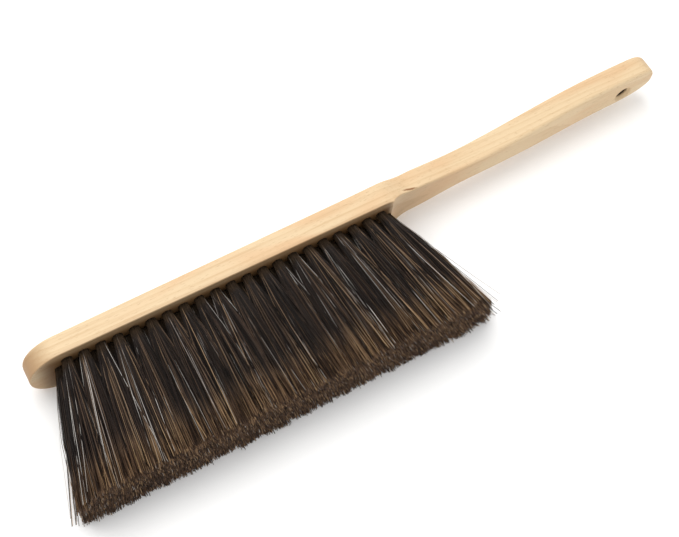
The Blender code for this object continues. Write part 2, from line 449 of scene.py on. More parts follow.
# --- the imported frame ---


@dataclass(frozen=True)
class Datum:
    """Where the nose, the bristle face and the middle of the width are."""

    corner: Vector
    length: float
    width: float

    @classmethod
    def of_block(cls) -> "Datum":
        """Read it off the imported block.

        Returns:
            The datum.
        """
        low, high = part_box(BLOCK_NODE)
        corner = Vector((low.x, low.y, (low.z + high.z) / 2))
        return cls(corner, high.x - low.x, high.z - low.z)


def ease(t: float) -> float:
    """Go from 0 to 1 with no slope at either end."""
    t = min(max(t, 0.0), 1.0)
    return t * t * (3.0 - 2.0 * t)


def ramp(x: float, start: float, end: float, before: float, after: float) -> float:
    """Ease from one value to another between two places along the brush."""
    return before + (after - before) * ease((x - start) / (end - start))


# --- finishes ---


@dataclass(frozen=True)
class Knot:
    """A small pin knot in the wood: where and how large it is, how its rim wanders, and where it shows."""

    place: Vector
    length: float = 0.0100
    width: float = 0.0015
    turn: float = math.radians(-7.0)
    colour: Colour = (0.27, 0.13, 0.055)
    wander: Cloud = Cloud((700.0, 700.0, 700.0), shows=(0.6, 1.9), amount=0.9)
    shows: Span = (0.30, 0.95)


@dataclass(frozen=True)
class Marks:
    """Where the wood is darkened: painted shade on the drilled part of the bristle face and on the wall of
    the hang hole.
    """

    face: float
    middle: float
    hole_drop: float
    head_start: float
    head_end: float
    tufted: float
    hole: float
    bore: float
    bore_middle: float
    bore_deep: float


@dataclass(frozen=True)
class WoodFinish:
    """Pale sanded beech with fine grain along the board, with painted shade between the tufts and in the hang
    hole.

    Its marks fade over spans, each measured from the place that the mark belongs to.
    """

    cream: Colour = (0.69, 0.525, 0.325)
    peach: Colour = (0.66, 0.435, 0.245)
    late_wood: Colour = (0.52, 0.335, 0.17)
    fleck: Colour = (0.36, 0.21, 0.10)
    end_grain: Colour = (0.34, 0.195, 0.088)
    shaded: Colour = (0.135, 0.060, 0.016)
    # Painted shade deep in the hang hole.
    painted_bore_shade: Colour = (0.035, 0.018, 0.009)
    roughness: Span = (0.46, 0.62)
    specular: float = 0.35
    relief_height: float = 0.00022
    relief_strength: float = 0.35
    fleck_relief: float = 0.5
    blotches: Cloud = Cloud((16.0, 60.0, 60.0), distortion=0.6, shows=(0.36, 0.70))
    streaks: Cloud = Cloud((30.0, 900.0, 900.0), detail=4.0, shows=(0.50, 0.74), amount=0.34)
    flecks: Cloud = Cloud(
        (330.0, 3300.0, 2400.0), detail=1.0, shift=(3.0, 1.0, 7.0), shows=(0.62, 0.76), amount=0.50
    )
    ring_spacing: float = 0.0031
    ring_centre: tuple[float, float] = (-0.028, 0.012)
    ring_wander: Cloud = Cloud((7.0, 36.0, 36.0), shift=(0.0, 4.0, 2.0), amount=0.0125)
    ring_bend: float = 0.001
    ring_sharpness: float = 3.0
    ring_amount: float = 0.34
    head_starts: Span = (-0.0135, -0.002)
    head_ends: Span = (-0.003, 0.001)
    # The side faces of the head darken towards the bristle face: over this height, by this amount.
    rim_height: Span = (0.0006, 0.0026)
    rim_amount: Span = (0.05, 0.55)
    # Painted shade on the bristle face between the tufts: how high it reaches, how far out, and how strong.
    painted_shade_height: Span = (0.0002, 0.0006)
    painted_shade_edge: Span = (-0.001, 0.0034)
    painted_shade_amount: Span = (0.52, 0.90)
    # Spans of the painted shade in the hang hole.
    bore_wall: Span = (0.0, 0.0006)
    bore_mouth: Span = (-0.0012, -0.0004)
    nose_facing: Span = (0.05, 0.95)
    nose_ends: Span = (0.0, 0.02)
    nose_amount: float = 0.95
    end_facing: Span = (0.15, 1.0)
    end_starts: Span = (0.004, 0.010)
    end_amount: float = 0.38

    def material(self, knot: Knot, marks: Marks) -> bpy.types.Material:
        """Build the material.

        Args:
            knot: Where the grain has its knot.
            marks: Where the wood is darkened.

        Returns:
            The wood, drawn on Object coordinates.
        """
        graph = Graph("pale_beech")
        places = graph.coordinates("Object")
        near_knot = self.near_knot(graph, places, knot)
        rings = self.rings(graph, places, near_knot)
        layers = (self.blotches, self.streaks, self.flecks)
        blotches, streaks, flecks = (graph.noise(places, cloud) for cloud in layers)
        colour = graph.mix(graph.rise(blotches, self.blotches.shows), self.cream, self.peach)
        colour = graph.mix(graph.times(rings, self.ring_amount), colour, self.late_wood)
        for noise, cloud, dark in (
            (streaks, self.streaks, self.late_wood),
            (flecks, self.flecks, self.fleck),
        ):
            colour = graph.mix(graph.times(graph.rise(noise, cloud.shows), cloud.amount), colour, dark)
        colour = graph.mix(self.across_grain(graph, places, marks), colour, self.end_grain)
        colour = self.darken_rim_and_paint_shade(graph, places, colour, blotches, marks)
        colour = graph.mix(graph.rise(near_knot, knot.shows), colour, knot.colour)
        relief = graph.maths("SUBTRACT", streaks, graph.times(flecks, self.fleck_relief))
        graph.bump(relief, self.relief_height, self.relief_strength)
        return graph.finish(
            {
                "Base Color": colour,
                "Roughness": graph.between(streaks, self.roughness),
                "Specular IOR Level": self.specular,
            }
        )

    def darken_rim_and_paint_shade(self, graph: Graph, places: Socket, colour: Socket, blotches: Socket, marks: Marks) -> Socket:
        """Darken the side faces near the bristle face, and paint shade on the face between the tufts and deep
        in the hang hole.

        Args:
            graph: The material.
            places: Object coordinates.
            colour: The clean wood.
            blotches: Noise that breaks the marks up.
            marks: Where they are.

        Returns:
            The marked wood.
        """
        x, y, z = graph.axes(places)
        height = graph.maths("SUBTRACT", y, marks.face)
        starts = graph.rise(x, self.head_starts, marks.head_start)
        on_head = graph.times(starts, graph.fall(x, self.head_ends, marks.head_end))
        # Darker towards the bristle face, on the side faces of the head.
        darker_rim = graph.times(graph.fall(height, self.rim_height), graph.between(blotches, self.rim_amount))
        colour = graph.mix(graph.times(darker_rim, on_head), colour, self.end_grain)
        # Painted shade: darken the bristle face between the tufts towards the shaded colour.
        off_middle = graph.maths("ABSOLUTE", graph.maths("SUBTRACT", z, marks.middle))
        among = graph.fall(off_middle, self.painted_shade_edge, marks.tufted)
        painted_shade = graph.times(graph.fall(height, self.painted_shade_height), graph.between(among, self.painted_shade_amount))
        colour = graph.mix(graph.times(painted_shade, on_head), colour, self.shaded)
        # Painted shade: darken the deep middle of the hang hole's wall.
        along = graph.maths("SUBTRACT", x, marks.hole)
        across = graph.maths("SUBTRACT", z, marks.middle + marks.hole_drop)
        wall = graph.fall(graph.diagonal(along, across), self.bore_wall, marks.bore)
        from_middle = graph.maths("ABSOLUTE", graph.maths("SUBTRACT", y, marks.bore_middle))
        deep = graph.fall(from_middle, self.bore_mouth, marks.bore_deep)
        return graph.mix(graph.times(wall, deep), colour, self.painted_bore_shade)

    def near_knot(self, graph: Graph, places: Socket, knot: Knot) -> Socket:
        """Say how near a place is to the knot.

        Args:
            graph: The material.
            places: Object coordinates.
            knot: The knot.

        Returns:
            The nearness, from 1 in the knot to 0 a little way off.
        """
        mapping = graph.node("ShaderNodeMapping", vector_type="TEXTURE")
        graph.feed(places, mapping.inputs["Vector"])
        mapping.inputs["Location"].default_value = knot.place
        mapping.inputs["Rotation"].default_value = (0.0, 0.0, knot.turn)
        mapping.inputs["Scale"].default_value = (knot.length / 2, knot.width / 2, knot.length / 2)
        away = graph.node("ShaderNodeVectorMath", operation="LENGTH")
        graph.feed(mapping.outputs["Vector"], away.inputs[0])
        wander = graph.times(graph.noise(places, knot.wander), knot.wander.amount)
        return graph.fall(graph.maths("ADD", away.outputs["Value"], wander), knot.wander.shows)

    def rings(self, graph: Graph, places: Socket, near_knot: Socket) -> Socket:
        """Draw the growth rings, which run along the board and bend round the knot.

        Args:
            graph: The material.
            places: Object coordinates.
            near_knot: How near the knot is.

        Returns:
            The rings, from 0 in the early wood to 1 in the late wood.
        """
        _, y, z = graph.axes(places)
        across = graph.maths("SUBTRACT", y, self.ring_centre[0])
        deep = graph.maths("SUBTRACT", z, self.ring_centre[1])
        wander = graph.times(graph.noise(places, self.ring_wander), self.ring_wander.amount)
        bent = graph.maths("ADD", wander, graph.times(near_knot, self.ring_bend))
        away = graph.maths("ADD", graph.diagonal(across, deep), bent)
        turns = graph.maths("DIVIDE", away, self.ring_spacing)
        return graph.maths("POWER", graph.maths("FRACT", turns), self.ring_sharpness)

    def across_grain(self, graph: Graph, places: Socket, marks: Marks) -> Socket:
        """Say how much end grain shows: most on the nose, less on the handle's end, none in the holes.

        Args:
            graph: The material.
            places: Object coordinates.
            marks: Where the tufts start and where the hang hole is.

        Returns:
            The amount, from 0 to 1.
        """
        x = graph.axes(places)[0]
        outward = graph.axes(graph.coordinates("Normal"))[0]
        nose = graph.rise(graph.times(outward, -1.0), self.nose_facing)
        nose = graph.times(nose, graph.fall(x, self.nose_ends, marks.head_start))
        end = graph.times(graph.rise(outward, self.end_facing), graph.rise(x, self.end_starts, marks.hole))
        return graph.maths("ADD", graph.times(nose, self.nose_amount), graph.times(end, self.end_amount))


@dataclass(frozen=True)
class BristleFinish:
    """Dark dyed bristle. A bristle's tone, from 0 for the darkest to 1 for the palest, picks its colours.

    The spans along the bristle are shares of its length, from the root.
    """

    hole: Colour = (0.075, 0.051, 0.031)
    root: Colour = (0.013, 0.010, 0.009)
    middle: tuple[tuple[float, Colour], ...] = (
        (0.0, (0.003, 0.002, 0.002)),
        (0.40, (0.018, 0.011, 0.0085)),
        (0.66, (0.064, 0.040, 0.028)),
        (0.84, (0.18, 0.115, 0.072)),
        (0.92, (0.38, 0.25, 0.15)),
        (0.96, (0.32, 0.285, 0.265)),
        (1.0, (0.78, 0.75, 0.71)),
    )
    tip: tuple[tuple[float, Colour], ...] = (
        (0.0, (0.017, 0.010, 0.007)),
        (0.40, (0.125, 0.072, 0.042)),
        (0.66, (0.31, 0.190, 0.102)),
        (0.84, (0.50, 0.32, 0.17)),
        (0.92, (0.60, 0.40, 0.22)),
        (0.96, (0.38, 0.32, 0.27)),
        (1.0, (0.68, 0.63, 0.57)),
    )
    # Painted shade at the trimmed ends.
    cut: Colour = (0.11, 0.060, 0.034)
    pale_tones: Span = (0.45, 0.85)
    pale_amount: float = 0.95
    root_ends: Span = (0.06, 0.40)
    hole_ends: Span = (0.045, 0.11)
    hole_amount: float = 0.75
    tip_starts: Span = (0.64, 0.95)
    cut_starts: Span = (0.985, 0.997)
    cut_shade_amount: float = 0.50
    roughness: float = 0.42
    specular: float = 0.22
    shine: Colour = (1.0, 0.88, 0.82)
    map_name: str = "OFBake"

    def material(self) -> bpy.types.Material:
        """Build the material, which reads tone and place along the bristle off the bristle's own map.

        Returns:
            The bristle.
        """
        graph = Graph("dark_bristle")
        tone, along, _ = graph.axes(graph.node("ShaderNodeUVMap", uv_map=self.map_name).outputs["UV"])
        colour = graph.ramp(tone, self.middle)
        pale = graph.times(graph.rise(tone, self.pale_tones), self.pale_amount)
        near_root = graph.times(graph.fall(along, self.root_ends), graph.maths("SUBTRACT", 1.0, pale))
        colour = graph.mix(near_root, colour, self.root)
        at_hole = graph.times(graph.fall(along, self.hole_ends), self.hole_amount)
        colour = graph.mix(at_hole, colour, self.hole)
        colour = graph.mix(graph.rise(along, self.tip_starts), colour, graph.ramp(tone, self.tip))
        # Painted shade: the last of each bristle's length, at the trimmed end, is darkened.
        cut_shade = graph.times(graph.rise(along, self.cut_starts), self.cut_shade_amount)
        return graph.finish(
            {
                "Base Color": graph.mix(cut_shade, colour, self.cut),
                "Roughness": self.roughness,
                "Specular IOR Level": self.specular,
                "Specular Tint": self.shine,
            }
        )


@dataclass(frozen=True)
class WireFinish:
    """Flat steel wire, as the anchors are cut from, with fine lines from its drawing."""

    steel: Colour = (0.58, 0.56, 0.53)
    dull: Colour = (0.34, 0.32, 0.30)
    lines: Cloud = Cloud((300.0, 4000.0, 4000.0), detail=3.0, shows=(0.4, 0.7))
    roughness: Span = (0.25, 0.50)
    relief_height: float = 0.00005
    relief_strength: float = 0.3

    def material(self) -> bpy.types.Material:
        """Build the material.

        Returns:
            The wire, drawn on Object coordinates.
        """
        graph = Graph("flat_steel_wire")
        drawn = graph.noise(graph.coordinates("Object"), self.lines)
        graph.bump(drawn, self.relief_height, self.relief_strength)
        return graph.finish(
            {
                "Base Color": graph.mix(graph.rise(drawn, self.lines.shows), self.steel, self.dull),
                "Roughness": graph.between(drawn, self.roughness),
                "Metallic": 1.0,
            }
        )


# --- the wooden block ---


@dataclass
class Block:
    """The wooden block with its handle: outline, thickness, rounded rims and holes."""

    datum: Datum
    neck_width: float = 0.0205
    waist_width: float = 0.0164
    grip_width: float = 0.0224
    nose_thickness: float = 0.0105
    head_thickness: float = 0.0125
    handle_thickness: float = 0.0113
    neck_rise: float = 0.0035
    handle_sweep: float = 0.0055
    head_end: float = 0.1816
    shoulder_length: float = 0.018
    shoulder_lead: float = 0.004
    neck_to_waist: float = 0.032
    grip_from_end: float = 0.040
    end_round: float = 0.0125
    end_squareness: float = 2.5
    far_end_round: float = 0.023
    far_end_squareness: float = 2.0
    sweep_from_end: float = 0.014
    back_rounding: float = 0.0026
    face_rounding: float = 0.0005
    near_rounding: float = 0.0018
    grip_rounding: float = 0.0048
    waist_rounding: float = 0.0026
    rim_segments: int = 6
    hang_hole_diameter: float = 0.0074
    hang_hole_from_end: float = 0.0192
    hang_hole_drop: float = -0.0008
    countersink: float = 0.0014
    nose_overhang: float = 0.001
    end_overhang: float = 0.0008
    far_trim: float = 0.0009
    belly: float = 0.0014
    grip_belly: float = 0.0009
    knot_from_nose: float = 0.1935
    knot_from_face: float = 0.0046
    nose_stations: int = 22
    head_stations: int = 8
    shoulder_stations: int = 18
    handle_stations: int = 34
    end_stations: int = 24
    rim_angle: float = math.radians(50.0)
    smooth_angle: float = math.radians(32.0)
    normal_weight: int = 80
    drill_sides: int = 64
    drill_past: float = 0.002

    def __post_init__(self) -> None:
        """Work out the places that follow from the sizes."""
        self.length = self.datum.length + self.end_overhang
        self.head_width = self.datum.width
        self.shoulder_start = self.head_end - self.shoulder_lead
        self.neck_at = self.shoulder_start + self.shoulder_length
        self.waist_at = self.neck_at + self.neck_to_waist
        self.grip_at = self.length - self.grip_from_end
        self.belly_at = (self.waist_at + self.grip_at) / 2
        self.end_start = self.length - self.far_end_round

    def half_width(self, x: float, far: bool = False) -> float:
        """Half the width of the outline at x, with its half-round nose and blunter handle end.

        Args:
            x: Where.
            far: Whether the lower side is meant, whose corner of the handle end is sanded rounder.

        Returns:
            The half width.
        """
        half = ramp(x, self.shoulder_start, self.neck_at, self.head_width, self.neck_width) / 2
        half += ramp(x, self.neck_at, self.waist_at, 0.0, self.waist_width - self.neck_width) / 2
        half += ramp(x, self.waist_at, self.grip_at, 0.0, self.grip_width - self.waist_width) / 2
        if far:
            half -= ramp(x, self.neck_at, self.waist_at, 0.0, self.far_trim)
        nose = self.head_width / 2
        if x < nose:
            half = nose * math.sqrt(max(1.0 - ((nose - x) / (nose + self.nose_overhang)) ** 2, 0.0))
        reach = self.far_end_round if far else self.end_round
        power = self.far_end_squareness if far else self.end_squareness
        into_end = (x - (self.length - reach)) / reach
        if into_end > 0.0:
            half *= max(1.0 - into_end**power, 0.0) ** (1.0 / power)
        return half

    def sweep(self, x: float) -> float:
        """How far the handle has swept back at x."""
        return ramp(x, self.neck_at, self.length - self.sweep_from_end, 0.0, self.handle_sweep)

    def face_height(self, x: float) -> float:
        """Y of the bristle face, and of the underside of the handle behind it.

        Args:
            x: Where.

        Returns:
            The height over the datum.
        """
        share = min(max((x - self.head_end) / (self.neck_at - self.head_end), 0.0), 1.0)
        belly = ramp(x, self.neck_at, self.belly_at, 0.0, self.belly)
        belly -= ramp(x, self.belly_at, self.grip_at, 0.0, self.belly - self.grip_belly)
        return self.neck_rise * (1.0 - (1.0 - share) ** 3) + self.sweep(x) - belly

    def back_height(self, x: float) -> float:
        """Y of the back: a slight wedge along the head, then level with the underside of the handle.

        Args:
            x: Where.

        Returns:
            The height over the datum.
        """
        wedge = (x - self.head_width / 2) / (self.shoulder_start - self.head_width / 2)
        head = self.nose_thickness + (self.head_thickness - self.nose_thickness) * min(max(wedge, 0.0), 1.0)
        handle = self.neck_rise + self.handle_thickness
        start, end = self.shoulder_start - self.shoulder_lead, self.neck_at + self.shoulder_lead
        return ramp(x, start, end, head, handle) + self.sweep(x)

    def stations(self) -> list[float]:
        """Places along the block where it is shaped, close together where its outline curves.

        Returns:
            The places, from the nose.
        """
        nose = self.head_width / 2
        arc = np.linspace(0.0, math.pi / 2, self.nose_stations)[:-1]
        places = list(nose - (nose + self.nose_overhang) * np.cos(arc))
        for start, end, count in (
            (nose, self.shoulder_start, self.head_stations),
            (self.shoulder_start, self.neck_at, self.shoulder_stations),
            (self.neck_at, self.end_start, self.handle_stations),
        ):
            places += list(np.linspace(start, end, count, endpoint=False))
        arc = np.sin(np.linspace(0.0, math.pi / 2, self.end_stations))
        return places + list(self.end_start + self.far_end_round * arc)

    def build(self, pattern: "TuftPattern") -> bpy.types.Object:
        """Model the block.

        Args:
            pattern: Where the tuft holes go.

        Returns:
            The finished block.
        """
        block = self.board()
        self.shape()
        self.clear_ends()
        self.weigh_rims()
        bpy.ops.object.mode_set(mode="OBJECT")
        apply_modifier(
            block,
            "BEVEL",
            limit_method="WEIGHT",
            width=self.grip_rounding,
            segments=self.rim_segments,
            use_clamp_overlap=False,
        )
        cut_with(block, pattern.hole_cutter())
        cut_with(block, self.hang_hole_cutter())
        block.location = self.datum.corner
        settle(block)
        bpy.ops.object.shade_smooth_by_angle(angle=self.smooth_angle)
        apply_modifier(block, "WEIGHTED_NORMAL", keep_sharp=True, weight=self.normal_weight)
        return block

    def board(self) -> bpy.types.Object:
        """Add the board as long as the brush, one metre thick and wide, and saw it across at every station.

        Returns:
            The board, in edit mode.
        """
        select_only(None)
        whole = self.length + self.nose_overhang
        middle = whole / 2 - self.nose_overhang
        bpy.ops.mesh.primitive_cube_add(size=1.0, location=(middle, 0.5, 0.0), scale=(whole, 1.0, 1.0))
        block = take_new("wooden_block")
        settle(block)
        bpy.ops.object.mode_set(mode="EDIT")
        for x in self.stations()[1:-1]:
            saw((x, 0.0, 0.0), (1.0, 0.0, 0.0))
        return block

    def shape(self) -> None:
        """Give every section its width, thickness and height."""
        for x in self.stations():
            pick(lambda place, x=x: abs(place.x - x) < SAME_PLACE)
            low, high = self.face_height(x), self.back_height(x)
            near, far = self.half_width(x), self.half_width(x, far=True)
            size = (1.0, high - low, max(near + far, THINNEST))
            bpy.ops.transform.resize(value=size, center_override=(x, 0.0, 0.0))
            bpy.ops.transform.translate(value=(0.0, low, (near - far) / 2))
        bpy.ops.mesh.select_all(action="SELECT")
        bpy.ops.mesh.remove_doubles(threshold=SAME_PLACE)
        bpy.ops.mesh.dissolve_degenerate(threshold=SAME_PLACE)
        bpy.ops.mesh.select_all(action="SELECT")
        bpy.ops.mesh.normals_make_consistent(inside=False)

    def clear_ends(self) -> None:
        """Clear the cuts across both rounded ends, so that the rims have room for their rounding."""
        bpy.ops.mesh.select_mode(type="EDGE")
        bpy.ops.mesh.select_all(action="DESELECT")
        bm = bmesh.from_edit_mesh(bpy.context.view_layer.objects.active.data)
        nose = self.head_width / 2
        for edge in bm.edges:
            first, second = (vert.co for vert in edge.verts)
            crosses = abs(first.x - second.x) < SAME_PLACE and abs(first.y - second.y) < SAME_PLACE
            on_end = first.x < nose - CLEARLY_PAST or first.x > self.end_start + CLEARLY_PAST
            edge.select = crosses and on_end
        bmesh.update_edit_mesh(bpy.context.view_layer.objects.active.data)
        bpy.ops.mesh.dissolve_edges(use_verts=False)

    def weigh_rims(self) -> None:
        """Give each rim its share of the largest rounding: little on the bristle face, full elsewhere."""
        bm = bmesh.from_edit_mesh(bpy.context.view_layer.objects.active.data)
        weights = bm.edges.layers.float.new("bevel_weight_edge")
        for edge in bm.edges:
            if edge.calc_face_angle(0.0) < self.rim_angle:
                continue
            x = (edge.verts[0].co.x + edge.verts[1].co.x) / 2
            rounding = self.back_rounding
            if edge.verts[0].co.y < (self.face_height(x) + self.back_height(x)) / 2:
                z = (edge.verts[0].co.z + edge.verts[1].co.z) / 2
                far = ramp(x, self.waist_at, self.end_start, self.waist_rounding, self.grip_rounding)
                handle = ramp(z, -self.waist_width / 2, self.waist_width / 2, far, self.near_rounding)
                rounding = ramp(x, self.head_end, self.waist_at, self.face_rounding, handle)
            edge[weights] = rounding / self.grip_rounding
        bmesh.update_edit_mesh(bpy.context.view_layer.objects.active.data)

    def hang_hole_cutter(self) -> bpy.types.Object:
        """Model a drill with a cone at both mouths of the hang hole.

        Returns:
            The drill, at the hang hole.
        """
        x = self.length - self.hang_hole_from_end
        bore, past = self.hang_hole_diameter / 2, self.drill_past
        low, high = self.face_height(x) - past, self.back_height(x) + past
        flare = self.countersink + past
        select_only(None)
        bpy.ops.mesh.primitive_cylinder_add(
            vertices=self.drill_sides,
            radius=bore,
            depth=high - low,
            location=(x, (low + high) / 2, self.hang_hole_drop),
            rotation=(math.pi / 2, 0.0, 0.0),
        )
        cutter = take_new("hang_hole_drill")
        settle(cutter)
        bpy.ops.object.mode_set(mode="EDIT")
        for y in (low + flare, high - flare):
            saw((x, y, 0.0), (0.0, 1.0, 0.0))
        pick(lambda place: place.y < low + CLEARLY_PAST or place.y > high - CLEARLY_PAST)
        wider = (bore + flare) / bore
        bpy.ops.transform.resize(value=(wider, 1.0, wider), center_override=(x, 0.0, self.hang_hole_drop))
        bpy.ops.object.mode_set(mode="OBJECT")
        return cutter

    def marks(self, pattern: "TuftPattern") -> Marks:
        """Say where the wood is darkened.

        Args:
            pattern: Where the tufts are.

        Returns:
            The places.
        """
        corner = self.datum.corner
        hole = self.length - self.hang_hole_from_end
        return Marks(
            face=corner.y,
            middle=corner.z,
            hole_drop=self.hang_hole_drop,
            head_start=corner.x + pattern.first,
            head_end=corner.x + self.head_end,
            tufted=pattern.row_height(0) + pattern.hole_diameter / 2,
            hole=corner.x + hole,
            bore=self.hang_hole_diameter / 2,
            bore_middle=corner.y + (self.face_height(hole) + self.back_height(hole)) / 2,
            bore_deep=(self.back_height(hole) - self.face_height(hole)) / 2 - self.countersink,
        )

    def knot(self) -> Knot:
        """Say where the knot is, on the upper side face close behind the shoulder."""
        place = Vector((self.knot_from_nose, self.knot_from_face, self.half_width(self.knot_from_nose)))
        return Knot(self.datum.corner + place)


# --- the tufts ---


@dataclass
class TuftPattern:
    """The drilled pattern and the space that each tuft fills, measured from the datum."""

    datum: Datum
    letters: str = "abcd"
    odd_row: int = 21
    pitch: float = 0.0079
    row_spacing: float = 0.0057
    first: float = 0.0132
    hole_diameter: float = 0.0052
    hole_depth: float = 0.0075
    bristle_length: float = 0.0635
    nose_flare: float = 0.0125
    heel_flare_top: float = 0.0115
    heel_flare_bottom: float = 0.0175
    flare_curve: float = 0.55
    tip_top: float = 0.0150
    tip_bottom: float = -0.0157
    fill_length: float = 0.027
    fit_gap: float = 0.0003
    end_share: float = 0.8
    drill_sides: int = 20
    drill_past: float = 0.003

    def __post_init__(self) -> None:
        """Work out the middle of the tufted length."""
        self.half_length = self.odd_row * self.pitch / 2
        self.middle = self.first + self.half_length

    def places(self, row: int) -> list[float]:
        """X of each tuft of a row: every other row is one tuft shorter and half a pitch off.

        Args:
            row: The row, from the top.

        Returns:
            The places, from the nose.
        """
        short = row % 2 == 0
        start = self.first + (self.pitch / 2 if short else 0.0)
        return [start + i * self.pitch for i in range(self.odd_row if short else self.odd_row + 1)]

    def row_height(self, row: int) -> float:
        """Z of a row's centre line in the bristle face, from the top row down."""
        return self.row_spacing * ((len(self.letters) - 1) / 2 - row)

    def row_edge(self, row: float, t: np.ndarray) -> np.ndarray:
        """Z of the upper edge of a row's share of the width.

        Args:
            row: The row, from the top.
            t: Shares of the bristle length, from the root.

        Returns:
            The height of the edge at each of them.
        """
        rows = len(self.letters)
        root = self.row_spacing * (rows / 2 - row)
        tip = self.tip_top + (self.tip_bottom - self.tip_top) * row / rows
        return root + (tip - root) * t

    def lean(self, row: int, x: float) -> float:
        """How far the bristles of a row lean along the brush.

        Args:
            row: The row, from the top.
            x: Where they leave the bristle face.

        Returns:
            How far their tips have moved along X.
        """
        along = (x - self.middle) / self.half_length
        more = self.heel_flare_bottom - self.heel_flare_top
        heel = self.heel_flare_top + more * row / (len(self.letters) - 1)
        flare = heel if along > 0.0 else self.nose_flare
        return flare * ((1.0 - self.flare_curve) * along + self.flare_curve * along**3)

    def direction(self, row: int, x: float) -> Vector:
        """Which way a tuft points.

        Args:
            row: The row, from the top.
            x: Where its hole is.

        Returns:
            A unit vector, out of the hole.
        """
        one = np.ones(1)
        height = (self.row_edge(row, one)[0] + self.row_edge(row + 1, one)[0]) / 2
        return Vector((self.lean(row, x), -self.bristle_length, height - self.row_height(row))).normalized()

    def row_end(self, x: float) -> int:
        """Say whether a tuft is at an end of its row.

        Args:
            x: Where its hole is.

        Returns:
            1 at the handle's end, -1 at the nose's end and 0 between.
        """
        reach = self.pitch * self.end_share
        return (x > self.middle + self.half_length - reach) - (x < self.middle - self.half_length + reach)

    def every_tuft(self) -> list[tuple[int, float]]:
        """Row and x of every tuft, row after row."""
        return [(row, x) for row in range(len(self.letters)) for x in self.places(row)]

    def hole_cutter(self) -> bpy.types.Object:
        """Model one drill and copy it to every tuft.

        Returns:
            The drills.
        """
        past = self.drill_past
        depth = self.hole_depth + past
        select_only(None)
        radius = self.hole_diameter / 2
        bpy.ops.mesh.primitive_cylinder_add(vertices=self.drill_sides, radius=radius, depth=depth)
        drill = Pattern.of(take_new("tuft_drill"))
        places = []
        for row, x in self.every_tuft():
            along = self.direction(row, x)
            middle = Vector((x, 0.0, self.row_height(row))) + along * (past - self.hole_depth) / 2
            places.append(aimed(middle, along))
        return drill.copies("tuft_drills", places)


class Layer(Enum):
    """Which side of the bunch a row shows."""

    TOP = "top"
    INNER = "inner"
    BOTTOM = "bottom"


@dataclass(frozen=True)
class Tones:
    """How the tones are drawn: mostly dark, some brown, a few golden, bright or nearly white.

    The shares and the darkness change by a step from each row to the one below it, as painted shade on the
    lower rows.
    """

    dark: float = 0.23
    shade_step: float = 0.04
    lock_spread: float = 0.06
    spread: float = 0.26
    brownest: float = 0.66
    golden_share: float = 0.12
    golden_shade_step: float = 0.025
    golden: tuple[float, float] = (0.70, 0.18)
    bright_share: float = 0.032
    bright_shade_step: float = 0.004
    bright: tuple[float, float] = (0.88, 0.05)
    white_from: float = 0.970
    white_shade_step: float = 0.003
    white: tuple[float, float] = (0.95, 0.05)

    def draw(self, row: int, locks: int, lock: np.ndarray, rng: np.random.Generator) -> np.ndarray:
        """Draw the tone of each bristle of a tuft.

        Args:
            row: The row, from the top. Lower rows are darker, as painted shade.
            locks: How many locks the tuft has.
            lock: Which lock each bristle belongs to.
            rng: Draws the tones.

        Returns:
            The tones, from 0 to 1.
        """
        count = len(lock)
        # Painted shade: each row down is darker and has fewer golden, bright and white bristles.
        tone = self.dark - self.shade_step * row + rng.normal(0.0, self.lock_spread, locks)[lock]
        tone = np.clip(tone + rng.normal(0.0, self.spread, count), 0.0, self.brownest)
        rare = rng.random(count)
        for picked, (least, more) in (
            (rare < self.golden_share - self.golden_shade_step * row, self.golden),
            (rare < self.bright_share - self.bright_shade_step * row, self.bright),
            (rare > self.white_from + self.white_shade_step * row, self.white),
        ):
            tone = np.where(picked, least + more * rng.random(count), tone)
        return tone


